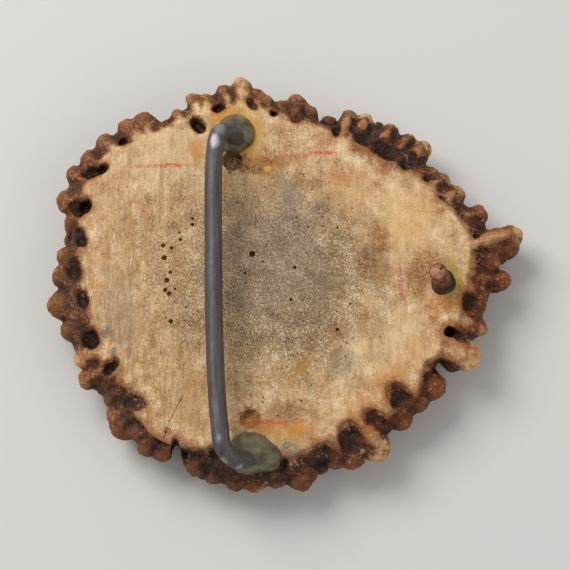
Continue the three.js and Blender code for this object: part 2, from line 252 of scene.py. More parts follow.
    "crackWedge": (0.12, 0.9, 0.25),  # half width, height, how far its middle lies below the back
}


def reachAt(bearing, rim):
    face = valueAt(antler["faceOutline"], bearing)
    return face + (valueAt(antler["rimOutline"], bearing) - face) * rim


def addSliceBody():
    clearSelection()
    rings = antler["profile"]
    bpy.ops.mesh.primitive_circle_add(vertices=antler["sides"], radius=rings[0][1], fill_type="NGON")
    body = bpy.context.object
    bpy.ops.object.mode_set(mode="EDIT")
    for (height, share, _), (nextHeight, nextShare, _) in zip(rings, rings[1:]):
        rise = (0, 0, (nextHeight - height) * mm)
        bpy.ops.mesh.extrude_region_move(TRANSFORM_OT_translate={"value": rise})
        grow = nextShare / share
        bpy.ops.transform.resize(value=(grow, grow, 1), center_override=(0, 0, 0))
    bpy.ops.mesh.select_all(action="SELECT")
    bpy.ops.mesh.normals_make_consistent(inside=False)
    bpy.ops.object.mode_set(mode="OBJECT")
    for vertex in body.data.vertices:
        rim = min(rings, key=lambda ring: abs(ring[0] * mm - vertex.co.z))[2]
        reach = reachAt(math.degrees(math.atan2(vertex.co.y, vertex.co.x)), rim) * mm
        vertex.co.x *= reach
        vertex.co.y *= reach
    return body


# Each knob is a round tip, lower than the sawn back, and a rib that climbs inwards to the back
def addKnobs():
    draw = random.Random(3)
    lumps = []
    for bearing, tip, radius, depth, length, pale in antler["knobs"]:
        middle = faceHeight - depth
        half = depth * (1 - antler["knobDrop"])
        tipPlace = (*polar(bearing, tip - radius * 0.2), middle)
        lumps.append(addBall(tipPlace, (radius * 1.2, radius, half), bearing))
        # the rib, higher where the tip is pale
        lift = depth * antler["knobDrop"] * (0.2 + 0.8 * pale)
        ribPlace = (*polar(bearing, tip - length / 2), middle + lift)
        lumps.append(addBall(ribPlace, (length / 2 + radius * 0.6, radius * 0.8, half), bearing))
        # the stem below the tip
        stem = radius * antler["knobTallness"]
        stemPlace = (*polar(bearing, tip - radius * 0.6), middle - stem * 0.6)
        lumps.append(addBall(stemPlace, (radius, radius, stem), bearing))
        # small grains that break up the roundness
        for _ in range(antler["grains"]):
            grain = radius * draw.uniform(0.3, 0.45)
            x, y = polar(draw.uniform(0, 360), radius * draw.uniform(0.3, 0.7))
            tipX, tipY = polar(bearing, tip)
            height = middle + half * draw.uniform(0.2, 0.75)
            lumps.append(addBall((tipX + x, tipY + y, height), (grain, grain, grain * 0.8), 0, 12))
    return lumps


# Smaller pearls under the main row, none in a notch
def addPearls():
    draw = random.Random(7)
    lumps = []
    knobs = antler["knobs"]
    for (bearing, tip, *_), (nextBearing, nextTip, *_) in zip(knobs, knobs[1:] + knobs[:1]):
        between = bearing + ((nextBearing - bearing) % 360) / 2 + draw.uniform(-1.5, 1.5)
        reach = min(tip, nextTip) - draw.uniform(0.9, 2.3)
        radius = draw.uniform(1.3, 2.2)
        height = radius * 1.5 + draw.uniform(0.8, 1.6)
        if min(abs(between - notch) for notch in antler["notches"]) < antler["notchWidth"]:
            continue
        lumps.append(addBall((*polar(between, reach), height), (radius * 1.5, radius, radius * 1.5), between))
    return lumps


# Lumps of one size all over, held off where the weight group is empty
def roughen(piece, size, strength, group=""):
    texture = bpy.data.textures.new("lumps", "CLOUDS")
    texture.noise_scale = size * mm
    finishModifier(piece, "DISPLACE", texture=texture, texture_coords="LOCAL", mid_level=0.5,
                   strength=strength * mm, vertex_group=group)


def addHollows():
    cutters = []
    spread = antler["hollowSpread"]
    for x, y, halfX, halfY, turn, depth, _ in antler["hollows"]:
        cutters.append(addBall((x, y, faceHeight), (halfX * spread, halfY * spread, depth), turn, 24))
    cutter = joinAll(cutters, "hollowCutters")
    # hollows that overlap become one
    finishModifier(cutter, "REMESH", mode="VOXEL", voxel_size=antler["hollowVoxel"] * mm)
    roughen(cutter, *antler["hollowLumps"])
    return cutter


# Crumbs that a cut may leave loose inside a hollow are swept out
def dropCrumbs(piece):
    lowest = int(points(piece.data)[:, 2].argmin())
    pick(piece)
    bpy.ops.object.mode_set(mode="EDIT")
    bpy.ops.mesh.select_all(action="DESELECT")
    bpy.ops.object.mode_set(mode="OBJECT")
    piece.data.vertices[lowest].select = True
    bpy.ops.object.mode_set(mode="EDIT")
    bpy.ops.mesh.select_linked()
    bpy.ops.mesh.select_all(action="INVERT")
    bpy.ops.mesh.delete(type="VERT")
    bpy.ops.object.mode_set(mode="OBJECT")


# A block that stands on the sawing plane
def addSaw():
    clearSelection()
    block = 120 * mm
    bpy.ops.mesh.primitive_cube_add(size=block, location=(0, 0, faceHeight * mm + block / 2))
    return bpy.context.object


def cutAway(piece, cutter):
    finishModifier(piece, "BOOLEAN", operation="DIFFERENCE", object=cutter, solver="MANIFOLD")
    drop(cutter)


def addHole(x, y, radius, depth, sides=20):
    clearSelection()
    bpy.ops.mesh.primitive_cylinder_add(
        vertices=sides, radius=radius * mm, depth=2 * depth * mm, location=(x * mm, y * mm, faceHeight * mm))
    return bpy.context.object


# A thin wedge along each leg of the crack
def addCrack():
    legs = []
    halfWidth, height, sunk = antler["crackWedge"]
    for (x, y), (nextX, nextY) in zip(antler["crack"], antler["crack"][1:]):
        run, climb = nextX - x, nextY - y
        length = math.hypot(run, climb)
        clearSelection()
        bpy.ops.mesh.primitive_cone_add(vertices=4, radius1=0, radius2=1, depth=1)
        leg = bpy.context.object
        leg.scale = (length * 0.8 * mm, halfWidth * mm, height * mm)
        leg.rotation_euler = (0, 0, math.atan2(climb, run))
        leg.location = ((x + nextX) / 2 * mm, (y + nextY) / 2 * mm, (faceHeight - sunk) * mm)
        legs.append(leg)
    return joinAll(legs, "crackCutter")


# Every point moved to the middle of its neighbours, round after round
def relaxed(spots, edges, rounds):
    ends = np.concatenate([edges[:, 0], edges[:, 1]])
    others = np.concatenate([edges[:, 1], edges[:, 0]])
    count = np.maximum(np.bincount(ends, minlength=len(spots)), 1)
    for _ in range(rounds):
        spots = np.stack([np.bincount(ends, spots[others, axis], len(spots)) / count for axis in range(3)], 1)
    return spots


# Values that the bone's colour follows: how hollow the place is (painted shade in the hollows, painted
# highlight on the ridges), how far it lies inside the sawn edge (negative below it), how pale and how worn
# the nearest knob's tip is and how much dirt and painted shade lie in the hollow
def markSlice(piece):
    mesh = piece.data
    spots = points(mesh)
    edges = np.empty(len(mesh.edges) * 2, dtype=np.int64)
    mesh.edges.foreach_get("vertices", edges)
    edges = edges.reshape(-1, 2)
    normals = np.empty(len(spots) * 3)
    mesh.vertices.foreach_get("normal", normals)
    normals = normals.reshape(-1, 3)
    # how hollow each place is, at a fine and a wide scale; the bark's colour turns it into painted shade in
    # the hollows and painted highlight on the ridges
    fine = ((relaxed(spots, edges, 8) - spots) * normals).sum(1)
    wide = ((relaxed(spots, edges, 45) - spots) * normals).sum(1)
    storeValues(mesh, "hollow", wide + fine)

    bearings = np.degrees(np.arctan2(spots[:, 1], spots[:, 0]))
    table = np.arange(-180, 181)
    faceReach = np.interp(bearings, table, [reachAt(bearing, 0) for bearing in table])
    share = np.hypot(spots[:, 0], spots[:, 1]) / faceReach
    edge = faceHeight - antler["edgeDrop"]
    outer = share > 0.85
    deep = outer & (spots[:, 2] < edge)
    upward = deep & (normals[:, 2] > -0.1)
    tree = kdtree.KDTree(int(upward.sum()))
    for index, (x, y, _) in enumerate(spots[upward]):
        tree.insert((x, y, 0), index)
    tree.balance()
    run = np.full(len(spots), 20.0)  # far inside
    near = (share > 0.7) & ~deep
    halo = np.interp(bearings, *zip(*antler["halo"]), period=360)
    run[near] = np.array([tree.find((x, y, 0))[2] for x, y, _ in spots[near]]) / halo[near]
    run[deep] = spots[deep, 2] - edge
    run[(spots[:, 2] < 3) & ~outer] = -8  # the domed front is bark
    run[spots[:, 2] < 0.35] = 5  # and cream where it is sanded
    storeValues(mesh, "edgeRun", run)

    pale, worn = np.zeros(len(spots)), np.zeros(len(spots))
    for bearing, tip, radius, depth, _, share in antler["knobs"]:
        place = np.array((*polar(bearing, tip + radius * 0.8), faceHeight - depth))
        distance = np.linalg.norm((spots - place) / (1, 1, 1.6), axis=1) / radius
        pale = np.maximum(pale, share * np.clip(1.75 - distance, 0, 1))
        worn = np.maximum(worn, np.clip(1.6 - distance, 0, 1))
    storeValues(mesh, "paleTip", pale)
    storeValues(mesh, "wornTip", worn)

    # dirt and painted shade inside each hollow, as dark as its listed value
    sootAndShade = np.zeros(len(spots))
    for x, y, halfX, halfY, turn, _, dark in antler["hollows"]:
        angle = math.radians(turn)
        along = (spots[:, 0] - x) * math.cos(angle) + (spots[:, 1] - y) * math.sin(angle)
        across = (spots[:, 1] - y) * math.cos(angle) - (spots[:, 0] - x) * math.sin(angle)
        sootAndShade = np.maximum(sootAndShade, dark * np.clip(1.5 - np.hypot(along / halfX, across / halfY), 0, 1))
    storeValues(mesh, "sootAndShade", sootAndShade + np.interp(bearings, *zip(*antler["darkerBark"]), period=360))


slicePiece = joinAll([addSliceBody()] + addKnobs() + addPearls(), "antlerSlice")
finishModifier(slicePiece, "REMESH", mode="VOXEL", voxel_size=antler["voxel"] * mm)
print("burr fused", len(slicePiece.data.polygons))
cutAway(slicePiece, addHollows())
cutAway(slicePiece, addSaw())
finishModifier(slicePiece, "REMESH", mode="VOXEL", voxel_size=antler["voxel"] * mm)
dropCrumbs(slicePiece)
finishModifier(slicePiece, "SMOOTH", factor=0.5, iterations=2)
# relief on the bark, fading out towards the sawn back and the sanded front
weights = slicePiece.vertex_groups.new(name="rough")
for vertex in slicePiece.data.vertices:
    z = (vertex.co / mm).z
    weights.add([vertex.index], easeStep((faceHeight - z) / 1.6) * easeStep(z / 2), "REPLACE")
for size, strength in antler["barkLumps"]:
    roughen(slicePiece, size, strength, group="rough")
# the front is sanded flat where it lies on the table
spots = points(slicePiece.data)
spots[:, 2] = np.maximum(spots[:, 2], 0)
setPoints(slicePiece.data, spots)
print("hollows opened, back sawn and front sanded", len(slicePiece.data.polygons))

# fewer triangles in the lower half, which shows less
thin = slicePiece.vertex_groups.new(name="thin")
for vertex in slicePiece.data.vertices:
    thin.add([vertex.index], easeStep((6 - vertex.co.z / mm) / 3), "REPLACE")
finishModifier(slicePiece, "DECIMATE", ratio=antler["trianglesKept"], vertex_group="thin",
               vertex_group_factor=1)
holes = [addHole(*hole) for hole in antler["spareHoles"]]
holes += [addHole(x, y, radius, radius * antler["poreDepth"], 9) for x, y, radius in antler["pores"]]
cutAway(slicePiece, joinAll(holes, "drills"))
cutAway(slicePiece, addCrack())
pick(slicePiece)
bpy.ops.object.shade_smooth_by_angle(angle=math.radians(50))
markSlice(slicePiece)
print("slice done", len(slicePiece.data.polygons))

# The belt loop: one bent steel wire, its two ends let into the bone
loop = {
    "radius": 1.6,
    "path": [
        (-7.7, 26.8, 6.5), (-8.0, 26.9, 9.5), (-8.6, 27.2, 12.4), (-10.1, 27.7, 15.8), (-11.9, 26.9, 18.0),
        (-12.7, 23.6, 18.6), (-12.85, 5.0, 18.6), (-12.5, -13.2, 18.6), (-11.6, -26.6, 18.6),
        (-10.9, -30.7, 18.3), (-8.7, -32.6, 16.3), (-6.1, -31.8, 12.6), (-5.3, -31.4, 9.5),
        (-5.1, -31.2, 6.5),
    ],
    "steps": 10,
    # bruises from the pliers: place, how deep
    "bruises": [(-11.7, 26.6, 19.4, 0.16), (-13.2, 24.4, 19.6, 0.1), (-11.0, -28.5, 20.1, 0.14),
                (-10.6, -31.2, 19.2, 0.16), (-9.2, -33.2, 17.2, 0.12)],
    "bruiseSize": 1.3,
    # bright scuffs from the pliers, partly painted highlights on the tops of the bends: place, half size, how
    # bright
    "scuffsAndHighlights": [(-12.7, 25.0, 20.0, 1.2, 0.9), (-11.8, 27.6, 19.2, 1.3, 0.45), (-11.6, -29.2, 19.4, 0.9, 0.75),
               (-10.6, -32.2, 18.0, 1.1, 0.75), (-8.2, -33.6, 16.6, 0.9, 0.7)],
}


def pointBetween(first, second, firstTime, secondTime, time):
    return first.lerp(second, (time - firstTime) / (secondTime - firstTime))


# Centripetal curve through the points, so the bends stay tight
def curveThrough(path, steps):
    knots = [Vector(spot) for spot in path]
    knots = [2 * knots[0] - knots[1]] + knots + [2 * knots[-1] - knots[-2]]
    made = []
    for before, start, end, after in zip(knots, knots[1:], knots[2:], knots[3:]):
        times = [0.0]
        for first, second in ((before, start), (start, end), (end, after)):
            times.append(times[-1] + math.sqrt((second - first).length))
        for step in range(steps):
            time = times[1] + (times[2] - times[1]) * step / steps
            one = pointBetween(before, start, times[0], times[1], time)
            two = pointBetween(start, end, times[1], times[2], time)
            three = pointBetween(end, after, times[2], times[3], time)
            four = pointBetween(one, two, times[0], times[2], time)
            five = pointBetween(two, three, times[1], times[3], time)
            made.append(pointBetween(four, five, times[1], times[2], time))
    return made + [knots[-2]]


def addWire():
    clearSelection()
    course = curveThrough(loop["path"], loop["steps"])
    line = bpy.data.curves.new("wire", "CURVE")
    line.dimensions = "3D"
    spline = line.splines.new("POLY")
    spline.points.add(len(course) - 1)
    for point, spot in zip(spline.points, course):
        point.co = (*(spot * mm), 1)
    line.bevel_depth = loop["radius"] * mm
    line.bevel_resolution = 10
    line.use_fill_caps = True
    wire = bpy.data.objects.new("wire", line)
    bpy.context.scene.collection.objects.link(wire)
    pick(wire)
    bpy.ops.object.convert(target="MESH")
    return joinAll([bpy.context.object], "beltLoop")


# Place round and along the wire, for its drawn lines
def markWire(piece, course):
    spots = points(piece.data)
    tree = kdtree.KDTree(len(course))
    for index, spot in enumerate(course):
        tree.insert(spot, index)
    tree.balance()
    nearest = np.array([tree.find(spot)[1] for spot in spots])
    centres = np.array(course)
    tangents = np.gradient(centres, axis=0)
    tangents /= np.linalg.norm(tangents, axis=1)[:, None]
    lengths = np.concatenate([[0], np.cumsum(np.linalg.norm(np.diff(centres, axis=0), axis=1))])
    outward = spots - centres[nearest]
    side = np.cross(tangents[nearest], (1, 0, 0))
    storeValues(piece.data, "roundX", outward[:, 0])
    storeValues(piece.data, "roundY", (outward * side).sum(1))
    storeValues(piece.data, "along", lengths[nearest])


loopPiece = addWire()
markWire(loopPiece, curveThrough(loop["path"], loop["steps"]))
spots = points(loopPiece.data)
for x, y, z, depth in loop["bruises"]:
    away = np.linalg.norm(spots - (x, y, z), axis=1)
    spots[:, 2] -= depth * np.exp(-(away / loop["bruiseSize"]) ** 2)
setPoints(loopPiece.data, spots)
pick(loopPiece)
bpy.ops.object.shade_smooth_by_angle(angle=math.radians(40))
print("wire bent", len(loopPiece.data.polygons))

# The prong: a short copper rod that leans up and to the left
prong = {
    "radius": 1.6, "foot": (28.7, 0.7, 12.0), "tip": (27.4, 1.2, 18.3), "buried": 6.0, "chamfer": 0.3,
    # a nick in the end: place from the tip, half sizes, turn
    "nick": (0.9, 0.55, 0.1), "nickSize": (0.62, 0.3, 0.35), "nickTurn": 25,
}


def addProng():
    foot, tip = Vector(prong["foot"]), Vector(prong["tip"])
    lean = (tip - foot).normalized()
    start = foot - lean * prong["buried"]
    clearSelection()
    bpy.ops.mesh.primitive_cylinder_add(
        vertices=48, radius=prong["radius"] * mm, depth=(tip - start).length * mm,
        location=(start + tip) / 2 * mm, rotation=Vector((0, 0, 1)).rotation_difference(lean).to_euler())
    rod = joinAll([bpy.context.object], "prongPin")
    finishModifier(rod, "BEVEL", width=prong["chamfer"] * mm, segments=3, angle_limit=math.radians(40))
    cutAway(rod, addBall(tip + Vector(prong["nick"]), prong["nickSize"], prong["nickTurn"]))
    pick(rod)
    bpy.ops.object.shade_smooth_by_angle(angle=math.radians(35))
    return rod


prongPiece = addProng()
print("prong set", len(prongPiece.data.polygons))

# Lumps of epoxy: centre, half sizes and height above the back in mm, how uneven the outline is and where it
# is longest, how far the lump runs down past the sawn edge, its dark, middle and pale colours
topGlue = {
    "x": -9.3, "y": 28.4, "halfWidth": 3.7, "halfLength": 3.9, "height": 2.5,
    "uneven": 0.06, "turn": 20, "sag": 0.0, "colours": ("4a4132", "6a614b", "857b63"),
}
bottomGlue = {
    "x": -5.8, "y": -31.0, "halfWidth": 4.6, "halfLength": 4.1, "height": 3.0,
    "uneven": 0.07, "turn": -25, "sag": 2.8, "colours": ("4f4836", "696049", "837a5f"),
}
# the collar's very dark olive colours are partly dark epoxy and partly painted shade round the foot of the
# prong
collar = {
    "x": 28.8, "y": 0.6, "halfWidth": 2.55, "halfLength": 2.7, "height": 0.5,
    "uneven": 0.03, "turn": 10, "sag": 0.0, "colours": ("241d0e", "3a3016", "5a4a20"),
}
epoxy = {
    "sunk": 0.4,  # how far the lump's middle lies below the back
    "sagFrom": 31.2,  # distance from the middle of the slice where a lump starts to run down
    "sagOver": 3.5,
    "broadLumps": (3.5, 0.36),  # size, strength as a share of the height
    "fineLumps": (1.5, 0.25),  # size, strength
    "cloudScale": 0.45,  # clouds about 2.2 mm across
    "roughness": 0.55, "specular": 0.3, "subsurface": 0.15,
}


def addGlue(glue, name):
    lump = addBall((glue["x"], glue["y"], faceHeight - epoxy["sunk"]),
                   (glue["halfWidth"], glue["halfLength"], glue["height"] + epoxy["sunk"]), 0, 48)
    lump = joinAll([lump], name)
    spots = points(lump.data)
    away = spots - (glue["x"], glue["y"], faceHeight)
    bearing = np.arctan2(away[:, 1], away[:, 0])
    swell = 1 + glue["uneven"] * np.cos(2 * (bearing - math.radians(glue["turn"])))
    swell += glue["uneven"] * 0.6 * np.cos(3 * bearing + 1.1)
    spots[:, 0] = glue["x"] + away[:, 0] * swell
    spots[:, 1] = glue["y"] + away[:, 1] * swell
    past = np.hypot(spots[:, 0], spots[:, 1]) - epoxy["sagFrom"]
    spots[:, 2] -= np.clip(past / epoxy["sagOver"], 0, 1) ** 1.5 * glue["sag"]
    setPoints(lump.data, spots)
    size, share = epoxy["broadLumps"]
    roughen(lump, size, glue["height"] * share)
    roughen(lump, *epoxy["fineLumps"])
    pick(lump)
    bpy.ops.object.shade_smooth()
    return lump


topGluePiece = addGlue(topGlue, "loopGlueTop")
bottomGluePiece = addGlue(bottomGlue, "loopGlueBottom")
collarPiece = addGlue(collar, "prongGlue")
print("glue laid")


# Screen colour as linear light
def tone(code):
    parts = [int(code[start:start + 2], 16) / 255 for start in (0, 2, 4)]
    return (*[part / 12.92 if part <= 0.04045 else ((part + 0.055) / 1.055) ** 2.4 for part in parts], 1.0)


# One shader node with its settings and links
def addNode(tree, kind, inputs=None, stops=None, **settings):
    made = tree.nodes.new("ShaderNode" + kind)
    for name, value in settings.items():
        setattr(made, name, value)
    for name, value in (inputs or {}).items():
        if isinstance(value, bpy.types.NodeSocket):
            tree.links.new(value, made.inputs[name])
        else:
            made.inputs[name].default_value = value
    if stops:
        ramp = made.color_ramp.elements
        while len(ramp) < len(stops):
            ramp.new(0.5)
        for element, (place, colour) in zip(ramp, stops):
            element.position = place
            element.color = tone(colour)
    return made.outputs


def newMaterial(name, piece):
    material = bpy.data.materials.new(name)
    material.use_nodes = True
    tree = material.node_tree
    tree.nodes.clear()
    surface = tree.nodes.new("ShaderNodeBsdfPrincipled")
    output = tree.nodes.new("ShaderNodeOutputMaterial")
    tree.links.new(surface.outputs[0], output.inputs["Surface"])
    piece.data.materials.clear()
    piece.data.materials.append(material)
    place = addNode(tree, "VectorMath", {0: addNode(tree, "TexCoord")["Object"], "Scale": 1 / mm},
                    operation="SCALE")[0]
    return tree, surface.inputs, place


def join(tree, socket, target):
    tree.links.new(socket, target)


# A colour, given as a code or a socket, laid over another where a value runs from low to high
def layColour(tree, under, value, low, high, share, over, within=None):
    mask = addNode(tree, "MapRange", {"Value": value, "From Min": low, "From Max": high, "To Max": share},
                   interpolation_type="SMOOTHSTEP")[0]
    if within:
        mask = addNode(tree, "Math", {0: mask, 1: within}, operation="MULTIPLY")[0]
    if isinstance(over, str):
        over = tone(over)
    return addNode(tree, "Mix", {"Factor": mask, 6: under, 7: over}, data_type="RGBA")[2]


# Distance from the middle of an oval on the back, 1 at its edge
def ovalRun(tree, place, x, y, halfX, halfY, turn):
    cosine, sine = polar(turn, 1)
    local = addNode(tree, "VectorMath", {0: place, 1: (x, y, 0)}, operation="SUBTRACT")[0]
    along = addNode(tree, "VectorMath", {0: local, 1: (cosine / halfX, sine / halfX, 0)},
                    operation="DOT_PRODUCT")["Value"]
    across = addNode(tree, "VectorMath", {0: local, 1: (-sine / halfY, cosine / halfY, 0)},
                     operation="DOT_PRODUCT")["Value"]
    square = addNode(tree, "Math", {0: across, 1: across}, operation="MULTIPLY")[0]
    square = addNode(tree, "Math", {0: along, 1: along, 2: square}, operation="MULTIPLY_ADD")[0]
    return addNode(tree, "Math", {0: square, 1: 0.5}, operation="POWER")[0]


# Values added up, each with its share
def blendOf(tree, *parts):
    total = 0.0
    for value, share in parts:
        total = addNode(tree, "Math", {0: value, 1: share, 2: total}, operation="MULTIPLY_ADD")[0]
    return total


bone = {
    # noises: name, size of the pattern in mm, detail, roughness
    "noises": [
        ("grain", 0.22, 2, 0.5), ("speck", 0.35, 2, 0.6), ("sponge", 0.4, 4, 0.75), ("grit", 1.0, 3, 0.6),
        ("mottle", 3.3, 9, 0.72), ("patch", 12.0, 2, 0.5),
    ],
    # streaked noises: name, width and length of a streak in mm, turn
    "streaks": [("fibre", 0.42, 2.9, 6), ("saw", 0.65, 5.0, -12), ("smear", 2.2, 7.0, -8)],
    # wobbles that make edges ragged: name, size and push in mm
    "wobbles": [("broad", 4.0, 18.0), ("near", 1.0, 3.6), ("fine", 0.35, 0.6)],
    # redder bark: x, y, half sizes, strength
    "redSides": [(30, -18, 34, 34, 0.7), (41, 5, 8, 14, 0.8)],
    # paler places: x, y, half sizes, turn, strength
    "palePatches": [(-19, 24.5, 12, 8, 20, 0.7), (21, 11, 9, 12, 20, 0.5), (17, -11, 10, 7, 40, 0.6),
                    (12, 16.5, 6, 4, 0, 0.5)],
    # stains on the sawn back: x, y, half sizes, turn, colour, strength, how grainy, how soft
    "stains": [
        # yellow and orange glue stain round the top end of the loop
        (-9.2, 28.6, 5.9, 5.9, 0, "cb8f30", 0.85, 0.5, 0.5),
        (-12.0, 32.2, 2.3, 1.5, 20, "d69a35", 0.85, 0.4, 0.6),
        (-6.0, 27.2, 1.8, 5.0, 0, "c79a3e", 0.75, 0.5, 0.6),
        (-16.0, 25.4, 1.8, 2.8, 0, "cd8c40", 0.8, 0.4, 0.6),
        (-5.4, 22.6, 5.8, 2.2, 4, "a36c28", 0.95, 0.6, 0.6),
        (-1.2, 23.0, 2.8, 1.2, 10, "ab6a28", 0.8, 0.8, 0.6),
        (-6.4, 21.9, 2.4, 0.9, 0, "5a3a18", 0.9, 1.1, 0.8),
        (-2.6, 23.4, 2.0, 0.8, 10, "64401c", 0.8, 1.1, 0.8),
        (-3.4, 20.9, 3.0, 1.0, 0, "9a6a30", 0.6, 0.9, 0.6),
        (-4.5, 21.7, 0.6, 0.45, 0, "5b4a66", 0.8, 0.4, 0.5),
        (-3.2, 21.9, 0.8, 0.6, 0, "d4b540", 0.8, 0.4, 0.5),
        # the same below the bottom end
        (-0.9, -26.7, 5.0, 1.8, -3, "be7f2c", 0.9, 0.6, 0.5),
        (2.7, -25.8, 1.4, 1.4, 0, "d4822c", 0.85, 0.4, 0.5),
        (-0.4, -28.6, 3.6, 1.4, 0, "b58f4e", 0.8, 0.6, 0.6),
        (0.9, -30.6, 3.0, 2.2, 0, "6c655a", 0.85, 0.6, 0.6),
        (8.2, -28.2, 1.0, 1.2, 0, "7c7365", 0.8, 0.5, 0.6),
        (1.0, -23.2, 6.0, 3.0, 0, "8a6538", 0.85, 0.75, 0.8),
        # drill marks filled with brown glue
        (-9.7, 23.4, 2.1, 2.1, 0, "5d3c26", 1.0, 0.7, 0.25),
        (-6.3, -24.6, 2.0, 2.0, 0, "a06634", 0.95, 0.3, 0.25),
        (-6.6, -23.7, 1.5, 0.8, 10, "5b3417", 0.95, 0.3, 0.7),
        (-6.3, -25.5, 1.5, 0.9, 0, "c49a63", 0.8, 0.2, 0.5),
        (26.7, -6.1, 0.62, 0.58, 0, "b8732f", 0.95, 0.1, 0.3),
        # yellow round the prong, orange specks below it
        (29.9, 1.2, 3.0, 4.0, 10, "a0842c", 0.85, 0.3, 0.6),
        (28.6, -3.3, 3.6, 2.2, 0, "b46c26", 0.9, 0.75, 0.6),
        (25.8, 4.3, 4.4, 4.0, 0, "915b28", 0.9, 0.75, 0.8),
        (23.8, 0.6, 3.2, 4.8, 0, "8a5a28", 0.9, 0.75, 0.8),
        # brown smudges on the right
        (33.3, -10.8, 2.2, 1.1, -30, "9a5c30", 0.85, 0.8, 0.7),
        (17.2, 8.8, 2.6, 4.6, 10, "8a5122", 0.9, 0.75, 0.75),
        (14.8, 4.0, 2.8, 5.0, 10, "6f4520", 0.9, 0.8, 0.8),
        (17.6, 1.0, 2.8, 3.6, 0, "8a6338", 0.75, 0.8, 0.8),
        (18.3, 22.2, 1.7, 2.4, -20, "9a552b", 0.9, 0.7, 0.8),
        (16.4, 18.6, 1.3, 2.8, -35, "a56c40", 0.6, 0.7, 0.8),
        (14.2, 25.4, 3.4, 1.5, -32, "6b4022", 0.85, 0.95, 0.8),
        (19.8, 22.6, 3.0, 1.5, -35, "5f3a20", 0.85, 0.95, 0.8),
        (22.6, 19.4, 1.6, 3.0, 20, "9a6238", 0.6, 0.8, 0.8),
        (11.6, 20.2, 4.4, 1.6, 5, "b87440", 0.75, 0.7, 0.8),
        (5.6, 19.0, 2.2, 1.0, 0, "84552f", 0.75, 1.0, 0.7),
        (-26.2, 15.0, 1.6, 2.2, 0, "b07449", 0.6, 0.6, 0.8),
        (1.2, 17.0, 3.0, 3.4, 0, "81706a", 0.5, 0.6, 0.8), (8.0, 0.5, 4.5, 4.5, 0, "735c44", 0.55, 0.8, 0.9),
        (10.3, -14.4, 3.4, 3.2, 30, "6a625c", 0.7, 0.75, 0.8),
        # warm tan along the lower right edge, tan on the left
        (19.0, -17.5, 3.6, 5.0, -45, "d08d48", 0.6, 0.4, 0.9),
        (13.0, -22.8, 3.0, 4.4, -50, "c78a4c", 0.6, 0.5, 0.9),
        (24.0, -12.0, 3.0, 4.0, 0, "cf9a60", 0.5, 0.5, 0.9),
        (23.0, 12.0, 7.0, 9.0, 20, "dca763", 0.45, 0.4, 0.9),
        (12.0, 17.0, 7.0, 5.0, -20, "cf9150", 0.4, 0.6, 0.9),
        (-29.6, -5.0, 4.8, 11.0, 5, "8c7560", 0.65, 0.7, 0.85),
        # yellow-brown drips in the middle
        (3.2, -15.2, 2.4, 1.5, 40, "a37a25", 0.95, 0.6, 0.7),
        (1.2, -17.2, 0.9, 1.9, -35, "a96f2c", 0.9, 0.6, 0.7),
        # blue-grey marks on the left
        (-32.5, -8.9, 0.8, 1.8, -20, "6f665b", 0.8, 0.5, 0.6),
        (-31.0, -12.2, 0.6, 1.3, -20, "7a6e60", 0.7, 0.5, 0.6),
        (-32.9, 2.6, 1.0, 1.2, 0, "978a7d", 0.6, 0.7, 0.6),
        # red pencil lines
        (-22.4, 22.4, 8.6, 0.5, 1.9, "cf4437", 0.6, 1.2, 0.6),
        (-21.0, 22.5, 4.8, 0.42, 1.9, "d23c31", 0.7, 1.0, 0.6),
        (1.4, 24.3, 9.6, 0.5, 4.4, "c4523c", 0.6, 1.2, 0.6),
        (7.0, 24.9, 3.2, 0.42, 3, "cc4236", 0.75, 1.0, 0.6),
        (-3.8, -25.2, 7.2, 0.5, 0.6, "c64c2e", 0.85, 0.7, 0.6),
        (21.0, 0.9, 0.65, 3.8, 4, "b8504a", 0.75, 1.0, 0.6),
        (21.6, -2.4, 0.5, 2.2, 14, "b8504a", 0.6, 1.0, 0.6),
    ],
    "roughness": 0.62,
    "specular": 0.22,
}


